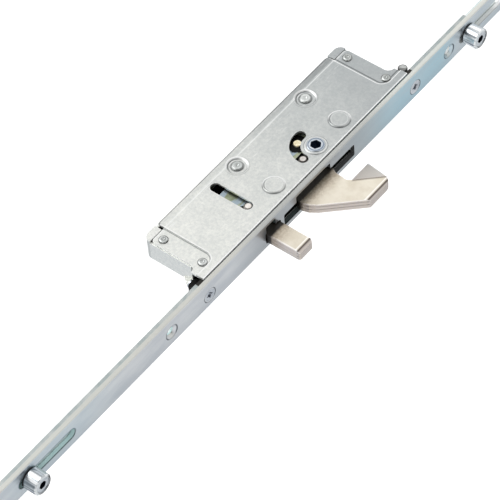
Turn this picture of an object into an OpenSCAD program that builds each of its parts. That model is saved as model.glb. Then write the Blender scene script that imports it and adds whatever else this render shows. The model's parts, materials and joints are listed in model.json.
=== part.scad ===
// Lower locking section of a multipoint door lock: a forend strip with a case that throws
// a deadbolt and swings a hook, and two adjustable roller cams, all worked by one drive rail.
// Millimetres. X = 0 is the forend's front face, +X goes into the door, +Z up along the strip,
// -Y is the side of the case lid. The pose drawn is locked: bolt and hook thrown.

/* [Forend] */
// Width of the forend strip, along Y
forend_w = 16; // [14:0.5:24]
// Thickness of the forend strip
forend_t = 2.5; // [2:0.1:4]
// Lower end of the strip along Z
forend_low = -178; // [-220:1:-160]
// Upper end of the strip along Z
forend_high = 238; // [220:1:320]
// Radius on the front long edges
forend_edge = 0.6; // [0.2:0.1:1]
// Distance of the two case screws from the middle, along Z
case_screw_z = 79.4; // [70:0.1:90]
// Offset of the case screws from the middle, along Y
case_screw_y = 1; // [-2:0.1:2]
// Distance of the two door-fixing holes from the middle, along Z
fixing_z = 107.1; // [95:0.1:120]
// Radius of the door-fixing holes
fixing_r = 2.3; // [1.8:0.05:3]
// Radius of a countersink at the front face
sink_r = 3.9; // [3:0.05:5]
// Lowest fixing hole along Z
end_hole_low = -168; // [-172:1:-160]
// Highest fixing hole along Z
end_hole_high = 229; // [220:1:232]

/* [Rollers] */
// Height of the lower roller cam
roller_low_z = -122.8; // [-126:0.1:-118]
// Height of the upper roller cam
roller_high_z = 206.6; // [200:0.1:212]
// Radius of a roller sleeve
roller_r = 5.5; // [4:0.1:8]
// Length of a roller sleeve along X
roller_len = 7.2; // [5:0.1:12]
// Offset between the stud's shank and its roller journal
eccentric = 0.7; // [0.3:0.05:1.2]
// Radius of the stud's shank
shank_r = 2.6; // [2:0.05:2.8]
// Half width of the roller slots in the forend
slot_half = 2.9; // [2.7:0.05:3.5]
// Middle of the roller slots across the strip
slot_y = 0.3; // [-1:0.1:1]
// Hexagon socket across flats
socket_af = 4; // [3:0.5:5]

/* [Drive rail] */
// Travel of the rail from locked to unlocked
travel = 22; // [18:0.5:26]
// Half width of the rail
rail_half = 5.8; // [5:0.1:7]
// Front face of the rail along X
rail_x0 = 2.6; // [2.55:0.05:3]
// Thickness of the rail
rail_t = 3; // [2:0.1:4]
// Lower end of the rail
rail_low = -127.2; // [-135:0.1:-126]
// Lower end of the narrow tongue that runs on behind the lower roller's slot
tongue_low = -149.5; // [-152:0.5:-140]
// Half width of the tongue
tongue_half = 4.2; // [3:0.1:5]
// Upper end of the rail
rail_high = 236; // [220:1:300]
// Lower end of the cam plate
slide_low = -34; // [-36:0.5:-32]
// Upper end of the cam plate
slide_high = 58; // [57:0.5:62]
// Back edge of the cam plate along X
slide_x = 38.5; // [38:0.1:40]
// Far edge of the narrow strip that passes the bolt and hook
strip_y = -1.9; // [-3:0.1:-1.5]
// Lower end of the narrow strip
strip_low = -32; // [-40:1:-30]
// Upper end of the narrow strip
strip_high = 61; // [58:1:66]

/* [Case] */
// Outer face of the lid along Y
lid_y = -7.2; // [-9:0.1:-6.5]
// Outer face of the tray's far plate along Y
far_y = 6; // [5:0.1:8]
// Sheet thickness of the lid and the tray
sheet = 1.2; // [0.8:0.1:2]
// Outer face of the tray's back wall along X
back_x = 43; // [42:0.1:60]
// Back edge of the lid along X
lid_back = 42.4; // [41:0.1:60]
// Back edge of the lid's end tabs along X
tab_back = 38.6; // [37:0.1:56]
// Half height of the raised part of the lid
raised_half = 65; // [60:0.5:70]
// Gap between the tray's end walls and the screw pillars
pillar_gap = 1.8; // [1:0.1:3]
// Gap between the lid's end tabs and the tray's end edges
tab_gap = 0.4; // [0.2:0.1:2]
// Start of the tray's end walls along X
wall_x = 14; // [10:0.5:20]
// Front edge of the lid along X
lid_front = 3.8; // [3.4:0.1:5]
// Half height of the lid's front flange
flange_half = 78.5; // [76:0.5:80]
// Depth of the lid's recessed end tabs
tab_drop = 1; // [0.5:0.1:1.5]
// Screw pillars' place along X
pillar_x = 8.4; // [8.4:0.1:11]
// Radius of the screw pillars
pillar_r = 2.4; // [2.3:0.1:3.2]
// Length of the screw pillars beyond the screws, along Z
pillar_reach = 1.6; // [0.5:0.1:3]
// Radius of the upper pillar's round near end
stud_r = 2.4; // [2:0.1:3]
// Radius of the outer corners of the case
case_corner = 4; // [3:0.5:12]

/* [Hook] */
// Hub centre along X
hub_x = 11.5; // [10:0.5:14]
// Hub centre along Z
hub_z = -16; // [-20:0.5:-12]
// Hub radius
hub_r = 4; // [3:0.1:5]
// Swing of the hook from locked to unlocked
swing = 96; // [80:1:98]
// Radius at which the hook's guide pin turns round the hub
guide_arm = 10; // [9:0.5:11]
// Radius of the pins
pin_r = 2.5; // [2:0.1:2.7]
// Near face of the hook and the bolt along Y
bolt_y0 = -1.3; // [-1.6:0.1:-1]
// Far face of the hook and the bolt along Y
bolt_y1 = 4.5; // [4:0.1:4.6]

/* [Bolt] */
// Height of the bolt's middle
bolt_z = 32; // [30:0.5:34]
// Width of the bolt along Z
bolt_w = 10; // [8:0.5:10]
// Reach of the bolt in front of the forend
bolt_out = 19.5; // [15:0.5:20]
// Throw of the bolt
throw = 20; // [14:0.5:20]
// Radius of the bolt pin's tip in the lid's slot
pin_tip = 2.1; // [1.6:0.05:2.3]
// Half width of the bolt pin's slot in the lid
guide_half = 2.65; // [2.4:0.05:2.9]
// Bolt pin's place along X when thrown
bolt_pin_x = 14.5; // [13:0.5:15]

/* [Hidden] */
$fn = 64;
inner_near = lid_y + sheet;
inner_far = far_y - sheet;
slide_y0 = -4.6;
slide_y1 = -2.6;
boss_y = -2.4;
rail_x1 = rail_x0 + rail_t;
tray_x0 = rail_x1 + 0.3;
flange_x = 7.9;
step_w = 1.0;
tray_half = case_screw_z - pillar_r - pillar_gap;
tab_half = tray_half - tab_gap;
pillar_near = case_screw_y - pillar_r;
step_high = case_screw_z + pillar_reach - stud_r - 0.4;
end_sweep = step_high - tab_half;
ear_z = case_screw_z + pillar_reach + pillar_r + 1;
driver = [20.8, -13.5];
spacers = [[34.2, 15.5], [34.2, -37.2]];
dimples = [[12.5, 15], [12.5, -35.8]];
corner_z = tray_half - 4.6;
corners = [[34.3, corner_z], [34.3, -corner_z], [10.9, corner_z], [10.9, -corner_z]];
hub = [hub_x, hub_z];
guide_at = [hub_x, hub_z + guide_arm];
bolt_at = [bolt_pin_x, bolt_z];
running = 0.05;
bevel_a = [-13, bolt_y0, -13.5];
bevel_c = [-24, bolt_y0, -24];
bevel_b = [-8.9, bolt_y1, -29.4];
bevel_u = (bevel_c - bevel_a) / norm(bevel_c - bevel_a);
bevel_m = cross(bevel_b - bevel_a, bevel_c - bevel_a);
bevel_n = -bevel_m / norm(bevel_m);
bevel_v = cross(bevel_n, bevel_u);
fixed_gap = 0.02;

// Place of the slide's driver pin in the hook's own frame, at a share u of the travel.
function driver_path(u) =
  let (a = swing * u)
  let (x = driver[0] - hub[0])
  let (z = driver[1] - hub[1] - travel * u)
  [hub[0] + x * cos(a) - z * sin(a), hub[1] + x * sin(a) + z * cos(a)];

// Place of the hook's guide pin in the slide's own frame, at a share u of the travel.
function guide_path(u) = [
  hub[0] + guide_arm * sin(swing * u),
  hub[1] + guide_arm * cos(swing * u) + travel * u
];

// Outline of a straight slot between two points.
function slot_outline(a, b, r, n = 12) =
  let (d = atan2(b[1] - a[1], b[0] - a[0]))
  concat(
    [for (i = [0:n]) b + r * [cos(d - 90 + 180 * i / n), sin(d - 90 + 180 * i / n)]],
    [for (i = [0:n]) a + r * [cos(d + 90 + 180 * i / n), sin(d + 90 + 180 * i / n)]]
  );

// Rectangle with rounded corners.
function round_box(x0, y0, x1, y1, r, n = 6) = concat(
  [for (i = [0:n]) [x1 - r + r * sin(90 * i / n), y0 + r - r * cos(90 * i / n)]],
  [for (i = [0:n]) [x1 - r + r * cos(90 * i / n), y1 - r + r * sin(90 * i / n)]],
  [for (i = [0:n]) [x0 + r - r * sin(90 * i / n), y1 - r + r * cos(90 * i / n)]],
  [for (i = [0:n]) [x0 + r - r * cos(90 * i / n), y0 + r - r * sin(90 * i / n)]]
);

// Points on an arc from angle a to angle b round c.
function arc(c, r, a, b, n = 8) =
  [for (i = [0:n]) c + r * [cos(a + (b - a) * i / n), sin(a + (b - a) * i / n)]];

function mirror_z(points) = [for (i = [len(points) - 1:-1:0]) [points[i][0], -points[i][1]]];

// An outline drawn in X and Z, carried from y0 to y1.
module plate(y0, y1) {
  translate([0, y1, 0])
    rotate([90, 0, 0])
      linear_extrude(y1 - y0)
        children();
}

// An outline drawn in Y and Z, carried from x0 to x1.
module along_x(x0, x1) {
  translate([x0, 0, 0])
    rotate([90, 0, 90])
      linear_extrude(x1 - x0)
        children();
}

module rod_y(p, r, y0, y1) {
  translate([p[0], y0, p[1]])
    rotate([-90, 0, 0])
      cylinder(h = y1 - y0, r = r);
}

module cone_y(p, r0, r1, y0, y1) {
  translate([p[0], y0, p[1]])
    rotate([-90, 0, 0])
      cylinder(h = y1 - y0, r1 = r0, r2 = r1);
}

module rod_x(y, z, r, x0, x1) {
  translate([x0, y, z])
    rotate([0, 90, 0])
      cylinder(h = x1 - x0, r = r);
}

module cone_x(y, z, r0, r1, x0, x1) {
  translate([x0, y, z])
    rotate([0, 90, 0])
      cylinder(h = x1 - x0, r1 = r0, r2 = r1);
}

module slot(a, b, r, n = 12) {
  polygon(slot_outline(a, b, r, n));
}

// Round hole with a 90 degree countersink in the forend's front face.
module sunk_hole(y, z, r, rim) {
  rod_x(y, z, r, -1, forend_t + 1);
  cone_x(y, z, rim + 1, r, -1, rim - r);
}

// Forend strip
module forend() {
  color("#b4bac6")
    difference() {
      translate([0, 0, forend_low])
        linear_extrude(forend_high - forend_low)
          polygon(concat(
            arc([forend_edge, -forend_w / 2 + forend_edge], forend_edge, 180, 270, 4),
            [[forend_t, -forend_w / 2], [forend_t, forend_w / 2]],
            arc([forend_edge, forend_w / 2 - forend_edge], forend_edge, 90, 180, 4)
          ));
      along_x(-1, forend_t + 1)
        union() {
          polygon(round_box(-2.2, -30.6, 5.2, 23.7, 1));
          polygon(round_box(-6, -12, 0, 14.2, 0.8));
        }
      along_x(-1, forend_t + 1)
        union() {
          polygon(round_box(-2.2, 26.2, 5.5, 37.8, 1.6));
          polygon(round_box(-6, 30, 0, 37, 0.8));
        }
      along_x(-1, forend_t + 1)
        slot([slot_y, roller_low_z + 4.4], [slot_y, roller_low_z - 28.4], slot_half);
      along_x(-1, forend_t + 1)
        slot([slot_y, roller_high_z + 4.4], [slot_y, roller_high_z - 28.4], slot_half);
      for (z = [-case_screw_z, case_screw_z])
        sunk_hole(case_screw_y, z, 2.1, sink_r);
      for (z = [-fixing_z, fixing_z, end_hole_low, end_hole_high])
        sunk_hole(0, z, fixing_r, sink_r);
    }
}

// Outline of the tray's sheet, half of it mirrored
function tray_half_outline(inset) = concat(
  arc([back_x - case_corner, tray_half - case_corner], case_corner - inset, 0, 90, 10),
  [[flange_x + 1, tray_half - inset]]
);

// Outline of the ear that carries a screw pillar, upper end
function ear_outline() = [
  [pillar_x + 11.4, tray_half - 1], [pillar_x + 11.4, tray_half - 0.4], [pillar_x + 8, tray_half + 2.2],
  [pillar_x + 3.7, tray_half + 5], [pillar_x + 2.6, ear_z - 1], [pillar_x + 1, ear_z], [tray_x0, ear_z]
];

module tray_outline(inset) {
  p = tray_half_outline(inset);
  polygon(concat(p, mirror_z(p)));
}

// Folded sheet tray: far plate, back wall and end walls, with ears for the screw pillars
module case_tray() {
  color("#c9cbc7")
    difference() {
      union() {
        intersection() {
          union() {
            plate(inner_far, far_y)
              tray_outline(0);
            plate(lid_y + sheet + tab_drop, inner_far)
              difference() {
                tray_outline(0);
                tray_outline(sheet);
                translate([0, -tray_half + sheet])
                  square([flange_x + 2, 2 * tray_half - 2 * sheet]);
                translate([0, -tray_half - 1])
                  square([wall_x, 2 * tray_half + 2]);
              }
            plate(inner_near, lid_y + sheet + tab_drop + 0.5)
              translate([back_x - sheet, -raised_half + 0.8])
                square([sheet, 2 * raised_half - 1.6]);
            plate(lid_y + tab_drop, lid_y + sheet + tab_drop)
              difference() {
                tray_outline(0);
                translate([-1, -raised_half - 1.2])
                  square([back_x + 2, 2 * raised_half + 2.4]);
                translate([-1, -tray_half - 1])
                  square([tab_back + 1.3, 2 * tray_half + 2]);
              }
          }
          translate([0, 0, -100])
            linear_extrude(200)
              polygon(concat(
                [[0, -20], [back_x, -20]],
                arc([back_x - 2.5, far_y - 2.5], 2.5, 0, 90, 6),
                [[0, far_y]]
              ));
        }
        plate(inner_far, far_y)
          union() {
            polygon(concat(ear_outline(), mirror_z(ear_outline())));
            polygon(round_box(rail_x0, strip_low + 0.5, tray_x0 + 3, strip_high - travel - 0.5, 0.4));
          }
      }
      for (c = corners)
        rod_y(c, 1.52, 0, far_y + 1);
      for (c = spacers)
        rod_y(c, 1.82, 0, far_y + 1);
      for (s = [-1, 1])
        rod_y([pillar_x, s * (case_screw_z + pillar_reach / 2)], 2 + fixed_gap, 0, far_y + 1);
      rod_y(hub, hub_r + fixed_gap, 0, far_y + 1);
    }
}

// Raised part of the lid: the middle field and the full-height front flange
module lid_raised() {
  half = concat(
    [[lid_back, 0], [lid_back, raised_half - 0.8], [lid_back - 0.8, raised_half]],
    arc([flange_x + 5, raised_half + 5], 5, 270, 180, 8),
    [[flange_x, flange_half - 0.8], [flange_x - 0.8, flange_half], [lid_front, flange_half]]
  );
  polygon(concat(half, mirror_z(half)));
}

// One recessed end tab, upper end
module lid_tab() {
  polygon(concat(
    [[flange_x - step_w, step_high], [flange_x - step_w, raised_half - step_w]],
    [[tab_back, raised_half - step_w], [tab_back, tab_half - 2.5]],
    arc([tab_back - 2.5, tab_half - 2.5], 2.5, 0, 90, 6),
    arc([wall_x + 1, tab_half + end_sweep], end_sweep, 270, 180, 6)
  ));
}

// Joggle that joins the raised part to a recessed tab, upper end
module lid_step() {
  polygon(concat(
    [[tab_back + 0.6, raised_half], [tab_back + 0.6, raised_half - step_w]],
    [[flange_x - step_w, raised_half - step_w], [flange_x - step_w, step_high]],
    [[flange_x, step_high]],
    arc([flange_x + 5, raised_half + 5], 5, 180, 270, 8)
  ));
}

// Pressed sheet lid with its dished rivet seats, round embossed stops, hub collar and slots
module case_lid() {
  color("#d3d4cf")
    difference() {
      union() {
        plate(lid_y, inner_near)
          lid_raised();
        for (s = [0, 1])
          mirror([0, 0, s]) {
            plate(lid_y + tab_drop, inner_near + tab_drop)
              lid_tab();
            plate(lid_y, inner_near + tab_drop)
              lid_step();
          }
        for (c = dimples)
          cone_y(c, 4.9, 5.5, lid_y - 0.5, lid_y);
        for (c = spacers)
          rod_y(c, 5.2, inner_near - 0.3, inner_near + 0.4);
        cone_y(hub, 5.3, 5.8, lid_y - 0.5, lid_y);
      }
      for (c = dimples)
        rod_y(c, 4.3, inner_near - 0.5, inner_near + 1);
      for (c = spacers)
        cone_y(c, 5.4, 4.7, lid_y - 0.01, lid_y + 0.5);
      for (c = spacers)
        rod_y(c, 1.82, lid_y - 1, inner_near + 2);
      for (c = corners)
        rod_y(c, 1.52, lid_y - 1, inner_near + 3);
      rod_y(hub, hub_r + fixed_gap, lid_y - 2, inner_near + 1);
      plate(lid_y - 1, inner_near + 1)
        slot(bolt_at + [guide_half - pin_tip - 0.1, 0],
          bolt_at + [throw - guide_half + pin_tip + 0.1, 0], guide_half, 20);
      plate(lid_y - 1, inner_near + 1)
        polygon(concat(
          arc(hub, guide_arm + pin_r + 0.2, 90, -6, 16),
          arc(hub + guide_arm * [cos(-6), sin(-6)], pin_r + 0.2, -6, -186, 10),
          arc(hub, guide_arm - pin_r - 0.2, -6, 90, 12),
          arc(guide_at, pin_r + 0.2, 270, 90, 10)
        ));
    }
}

// Four corner rivets with shoulders that hold the lid and the tray apart
module corner_rivets() {
  color("#c4c6c8")
    for (c = corners) {
      rod_y(c, 2.2, inner_near + tab_drop, inner_far);
      rod_y(c, 1.5, lid_y + tab_drop, far_y);
      difference() {
        union() {
          cone_y(c, 1.5, 2.4, lid_y + tab_drop - 0.8, lid_y + tab_drop - 0.35);
          rod_y(c, 2.4, lid_y + tab_drop - 0.35, lid_y + tab_drop);
        }
        cone_y(c, 0.8, 0.1, lid_y + tab_drop - 0.81, lid_y + tab_drop - 0.3);
      }
      cone_y(c, 2.6, 1.8, far_y, far_y + 0.6);
    }
}

// Two shouldered rivets in the middle of the case
module spacer_rivets() {
  color("#bfc1c3")
    for (c = spacers) {
      rod_y(c, 2.6, inner_near + 0.4, inner_far);
      rod_y(c, 1.8, lid_y + 0.5, far_y);
      difference() {
        union() {
          cone_y(c, 2.2, 2.9, lid_y - 0.4, lid_y);
          rod_y(c, 2.9, lid_y, lid_y + 0.5);
        }
        cone_y(c, 1.0, 0.1, lid_y - 0.41, lid_y + 0.2);
      }
      cone_y(c, 2.9, 2.1, far_y, far_y + 0.6);
    }
}

// Cross pillars that take the case screws
module screw_pillars() {
  color("#8f918f")
    for (s = [-1, 1])
      difference() {
        union() {
          plate(pillar_near, inner_far)
            slot([pillar_x, s * (case_screw_z - 0.4)], [pillar_x, s * (case_screw_z + pillar_reach)], pillar_r);
          if (s < 0)
            rod_y([pillar_x + 0.2, s * (case_screw_z + pillar_reach)], stud_r, inner_near + 0.3, pillar_near);
          rod_y([pillar_x, s * (case_screw_z + pillar_reach / 2)], 2, inner_far, far_y);
          cone_y([pillar_x, s * (case_screw_z + pillar_reach / 2)], 2.8, 2.1, far_y, far_y + 0.6);
        }
        rod_x(case_screw_y, s * case_screw_z, 2 + fixed_gap, pillar_x - 5, pillar_x + 5);
      }
}

// Sleeves round the case screws, between the forend and the pillars
module screw_spacers() {
  color("#a9acae")
    for (z = [-case_screw_z, case_screw_z])
      difference() {
        rod_x(case_screw_y, z, 2.55, forend_t, pillar_x - pillar_r - 0.1);
        rod_x(case_screw_y, z, 2.1, forend_t - 1, 7);
      }
}

// Countersunk cross-recessed screws that hold the case to the forend
module case_screws() {
  color("#d0d2d6")
    for (z = [-case_screw_z, case_screw_z])
      difference() {
        union() {
          cone_x(case_screw_y, z, 3.75, 2, 0.1, 1.85);
          rod_x(case_screw_y, z, 2, 1.85, pillar_x + 3.5);
        }
        translate([-0.5, case_screw_y, z])
          for (a = [0, 90])
            rotate([a, 0, 0])
              translate([0, -2, -0.45])
                cube([1.9, 4, 0.9]);
        cone_x(case_screw_y, z, 1.5, 0.6, 0, 2);
      }
}

// Hub that the hook turns on, with a hexagon hole through it
module pivot_bush() {
  color("#b9bcc0")
    difference() {
      union() {
        rod_y(hub, hub_r, lid_y - 0.5, far_y);
        cone_y(hub, 4.2, 4.6, lid_y - 0.95, lid_y - 0.5);
        cone_y(hub, 4.7, 4.2, far_y, far_y + 0.6);
      }
      translate([hub_x, -12, hub_z])
        rotate([-90, 0, 0])
          cylinder(h = 24, r = 2.5 / cos(30), $fn = 6);
    }
}

// Moulded guide at both sides of the bolt
module bolt_guide() {
  color("#2d2f31")
    difference() {
      plate(boss_y, inner_far)
        polygon(round_box(6.4, 24.7, 20.4, 40.6, 0.8, 4));
      plate(bolt_y0 - 0.15, inner_far + 1)
        translate([6, bolt_z - bolt_w / 2 - 0.1])
          square([15, bolt_w + 0.2]);
      plate(boss_y - 1, inner_far + 1)
        translate([9.6, bolt_z - bolt_w / 2 - 0.1])
          square([12, bolt_w + 0.2]);
    }
}

// Drive rail: flat bar behind the forend, cut back to a strip where the bolt and hook pass
module drive_rail() {
  color("#8b8f93")
    difference() {
      along_x(rail_x0, rail_x1)
        difference() {
          union() {
            polygon(round_box(-rail_half, rail_low, rail_half, rail_high, 1.2, 4));
            translate([-tongue_half, tongue_low])
              square([2 * tongue_half, rail_low - tongue_low + 2]);
          }
          slot([0, end_hole_low + travel], [0, end_hole_low], 2.7);
          translate([strip_y, strip_low])
            square([20, strip_high - strip_low]);
          for (z = [-case_screw_z, case_screw_z])
            slot([case_screw_y, z], [case_screw_y, z + travel], 2.85);
          for (z = [-fixing_z, fixing_z])
            slot([0, z], [0, z + travel], 2.7);
          slot([0, end_hole_high], [0, end_hole_high + travel], 2.7);
          for (z = [-24, 42])
            translate([slide_y0 - fixed_gap, z - fixed_gap])
              square([slide_y1 - slide_y0 + 2 * fixed_gap, 8 + 2 * fixed_gap]);
        }
      for (z = [roller_low_z, roller_high_z])
        rod_x(slot_y, z + eccentric, shank_r + running, rail_x0 - 1, rail_x1 + 1);
    }
}

// Cam plate on the rail: it pushes the bolt's pin along a slanted slot and carries the
// driver pin that turns the hook
module drive_slide() {
  color("#8f9388")
    difference() {
      plate(slide_y0, slide_y1)
        union() {
          polygon(concat(
            [[rail_x1, slide_low], [26, slide_low]],
            [[30, slide_low + 3], [slide_x, slide_low + 20]],
            [[slide_x, slide_high - 2], [slide_x - 2, slide_high], [rail_x1, slide_high]]
          ));
          for (z = [-24, 42])
            translate([rail_x0 + 0.1, z])
              square([rail_t, 8]);
        }
      plate(slide_y0 - 1, slide_y1 + 1)
        polygon(concat(
          arc(bolt_at, pin_r + running, 138, 318, 12),
          arc(bolt_at + [throw, travel], pin_r + running, -42, 138, 12)
        ));
      plate(slide_y0 - 1, slide_y1 + 1)
        union() {
          slot(hub, hub + [0, travel], hub_r + 0.3);
          for (i = [0:3])
            slot(guide_path(i / 4), guide_path((i + 1) / 4), pin_r + 0.45);
        }
      plate(slide_y0 - 1, slide_y1 + 1)
        union() {
          slot(spacers[0], spacers[0] + [0, travel], 3);
          slot(spacers[1] - [0, 5], spacers[1] + [0, travel], 3);
        }
      rod_y(driver, 2 + fixed_gap, slide_y0 - 1, slide_y1 + 1);
    }
}

// Driver pin riveted in the cam plate
module driver_pin() {
  color("#c9a74e")
    union() {
      cone_y(driver, 1.9, 2.3, slide_y0 - 0.6, slide_y0);
      rod_y(driver, 2, slide_y0, slide_y1);
      rod_y(driver, pin_r, slide_y1, 4.1);
    }
}

// Deadbolt with a bevelled nose and a boss for its pin
module deadbolt() {
  z0 = bolt_z - bolt_w / 2;
  z1 = bolt_z + bolt_w / 2;
  color("#d9d4cb")
    difference() {
      union() {
        plate(bolt_y0, bolt_y1)
          polygon(round_box(-bolt_out, z0, bolt_out, z1, 1.2, 5));
        plate(boss_y, bolt_y0)
          polygon(round_box(bolt_pin_x - 3.6, z0 + 1, bolt_out, z1 - 1, 2, 5));
      }
      translate([0, 0, z0 - 1])
        linear_extrude(bolt_w + 2)
          polygon([[-bolt_out - 1, -3], [-bolt_out + 1.5, -3], [-bolt_out + 1.5, bolt_y0],
            [-bolt_out, bolt_y0 + 1.5], [-bolt_out - 1, bolt_y0 + 1.5]]);
      rod_y(bolt_at, pin_r + fixed_gap, boss_y - 1, 4);
    }
}

module bolt_pin() {
  color("#b7a79f")
    union() {
      rod_y(bolt_at, pin_r, slide_y0 - 0.6, 3.9);
      rod_y(bolt_at, pin_tip, lid_y + 0.4, slide_y0 - 0.6);
      cone_y(bolt_at, pin_tip - 0.3, pin_tip, lid_y + 0.1, lid_y + 0.4);
    }
}

// Outline of the hook: the hooked nose outside, the boss and the cam arm inside
module hook_outline() {
  difference() {
    union() {
      polygon([
        [-5, -11.8], [-7.6, -11.7], [-8.9, -11.5], [-8.9, -29.4], [-24, -24], [-25.7, -23.2],
        [-26.3, -22.2], [-26.6, -20.5], [-26.6, -7.9], [-18, 0.1], [-8.7, 8.9], [-5, 11.3],
        [-2, 12.2], [0.5, 12.2], [3, 11.3], [8, 8.5], [16, 3.5], [29.9, -4.7], [22, -17],
        [hub_x, -24], [6, -21], [1.5, -14.5], [-3, -12]
      ]);
      polygon(arc(hub, 8.4, 0, 345, 23));
      slot(driver_path(0), driver_path(0.35), 5.2);
      slot(driver_path(0.35), driver_path(0.7), 5.2);
      slot(driver_path(0.7), driver_path(1), 5.2);
    }
    for (i = [0:9])
      slot(driver_path(i / 10), driver_path((i + 1) / 10), pin_r + 0.08);
  }
}

// Swinging hook
module hook() {
  color("#ddd8ce")
    difference() {
      union() {
        plate(bolt_y0, bolt_y1)
          hook_outline();
        rod_y(hub, 5.5, boss_y, bolt_y0);
        rod_y(guide_at, 3.8, boss_y, bolt_y0);
      }
      rod_y(hub, hub_r + running, boss_y - 1, bolt_y1 + 1);
      rod_y(guide_at, pin_r + fixed_gap, boss_y - 1, 4);
      intersection() {
        multmatrix([
          [bevel_u[0], bevel_v[0], bevel_n[0], bevel_a[0]],
          [bevel_u[1], bevel_v[1], bevel_n[1], bevel_a[1]],
          [bevel_u[2], bevel_v[2], bevel_n[2], bevel_a[2]]
        ])
          translate([-8, -8, 0])
            cube([40, 40, 12]);
        translate([-30, -3, -40])
          cube([22, 9, 40 + bevel_a[2] + 0.1]);
      }
      intersection() {
        translate([0, 0, -45])
          linear_extrude(40)
            polygon([
              [bevel_a[0], bolt_y0], [bevel_a[0], -4], [-5, -4], [-5, bolt_y1 + 1],
              [bevel_b[0] + 0.7, bolt_y1 + 1], [bevel_b[0], bolt_y1]
            ]);
        plate(-5, 6)
          polygon([[-14, -14.2], [bevel_a[0], -13.5], [-10.2, -11.5], [-8.6, -11.5], [-7, -11.9], [-7, -44],
            [-14, -44]]);
      }
    }
}

// Guide pin of the hook, running in the lid's curved slot
module hook_pin() {
  color("#b9a39c")
    union() {
      rod_y(guide_at, pin_r, slide_y0 - 0.6, 3.9);
      rod_y(guide_at, pin_tip, lid_y + 0.4, slide_y0 - 0.6);
      cone_y(guide_at, pin_tip - 0.3, pin_tip, lid_y + 0.1, lid_y + 0.4);
    }
}

// Eccentric stud: shank in the rail, journal for the sleeve, hexagon socket in the head
module roller_stud(z) {
  color("#aeb1b5")
    difference() {
      union() {
        rod_x(slot_y, z, 4, -7.6, -6.6);
        rod_x(slot_y, z, 3.35, -6.6, -0.6);
        rod_x(slot_y, z + eccentric, shank_r, -0.6, rail_x1 + 0.7);
        cone_x(slot_y, z + eccentric, 3.4, 3, rail_x1 + 0.7, rail_x1 + 1.3);
      }
      translate([-8.6, slot_y, z])
        rotate([0, 90, 0])
          cylinder(h = 4, r = socket_af / 2 / cos(30), $fn = 6);
    }
}

// Roller sleeve that spins on the stud's journal
module roller_sleeve(z) {
  x1 = -0.65;
  x0 = -7.85;
  color("#e3e5e8")
    difference() {
      union() {
        cone_x(slot_y, z, roller_r - 0.5, roller_r, x0, x0 + 0.5);
        rod_x(slot_y, z, roller_r, x0 + 0.5, x1 - 0.3);
        cone_x(slot_y, z, roller_r, roller_r - 0.3, x1 - 0.3, x1);
      }
      rod_x(slot_y, z, 3.42, x0 - 1, x1 + 1);
      rod_x(slot_y, z, 4.12, x0 - 1, -6.55);
    }
}

// Dark washer between the sleeve and the forend
module roller_washer(z) {
  color("#3b3d40")
    difference() {
      rod_x(slot_y, z + eccentric, 4.7, -0.52, -0.08);
      rod_x(slot_y, z + eccentric, shank_r + running, -2, 2);
    }
}

// Ring under the riveted end of the stud, on the back of the rail
module stud_ring(z) {
  color("#9da0a3")
    difference() {
      rod_x(slot_y, z + eccentric, 4, rail_x1, rail_x1 + 0.65);
      rod_x(slot_y, z + eccentric, shank_r + running, rail_x1 - 1, rail_x1 + 2);
    }
}

module upper_stud() { roller_stud(roller_high_z); }

module lower_stud() { roller_stud(roller_low_z); }

module upper_sleeve() { roller_sleeve(roller_high_z); }

module lower_sleeve() { roller_sleeve(roller_low_z); }

module upper_washer() { roller_washer(roller_high_z); }

module lower_washer() { roller_washer(roller_low_z); }

module upper_ring() { stud_ring(roller_high_z); }

module lower_ring() { stud_ring(roller_low_z); }

forend();
case_tray();
case_lid();
corner_rivets();
spacer_rivets();
screw_pillars();
screw_spacers();
case_screws();
pivot_bush();
bolt_guide();
drive_rail();
drive_slide();
driver_pin();
deadbolt();
bolt_pin();
hook();
hook_pin();
upper_stud();
lower_stud();
upper_sleeve();
lower_sleeve();
upper_washer();
lower_washer();
upper_ring();
lower_ring();
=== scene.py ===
import bpy, bmesh, json, math
from mathutils import Vector, Matrix

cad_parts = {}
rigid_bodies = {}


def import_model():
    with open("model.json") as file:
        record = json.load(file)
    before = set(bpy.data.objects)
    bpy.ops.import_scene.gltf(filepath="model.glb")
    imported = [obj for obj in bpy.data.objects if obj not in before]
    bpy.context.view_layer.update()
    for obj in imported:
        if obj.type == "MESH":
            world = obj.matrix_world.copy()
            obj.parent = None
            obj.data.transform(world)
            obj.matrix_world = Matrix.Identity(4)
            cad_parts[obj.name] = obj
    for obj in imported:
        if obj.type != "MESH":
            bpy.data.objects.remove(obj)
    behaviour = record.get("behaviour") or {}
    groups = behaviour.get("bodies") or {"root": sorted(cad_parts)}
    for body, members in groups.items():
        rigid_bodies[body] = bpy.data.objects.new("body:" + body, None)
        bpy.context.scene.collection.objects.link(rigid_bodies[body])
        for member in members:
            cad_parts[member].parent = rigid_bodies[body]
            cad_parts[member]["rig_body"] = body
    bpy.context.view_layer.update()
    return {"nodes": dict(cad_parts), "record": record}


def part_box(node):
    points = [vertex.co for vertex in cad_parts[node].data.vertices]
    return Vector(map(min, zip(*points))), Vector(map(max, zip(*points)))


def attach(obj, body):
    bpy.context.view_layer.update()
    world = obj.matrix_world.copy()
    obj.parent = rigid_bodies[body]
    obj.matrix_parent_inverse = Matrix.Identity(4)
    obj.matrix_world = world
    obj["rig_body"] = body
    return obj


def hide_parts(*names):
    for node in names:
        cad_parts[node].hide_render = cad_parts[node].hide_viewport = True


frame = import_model()
mm = 0.001


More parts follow.
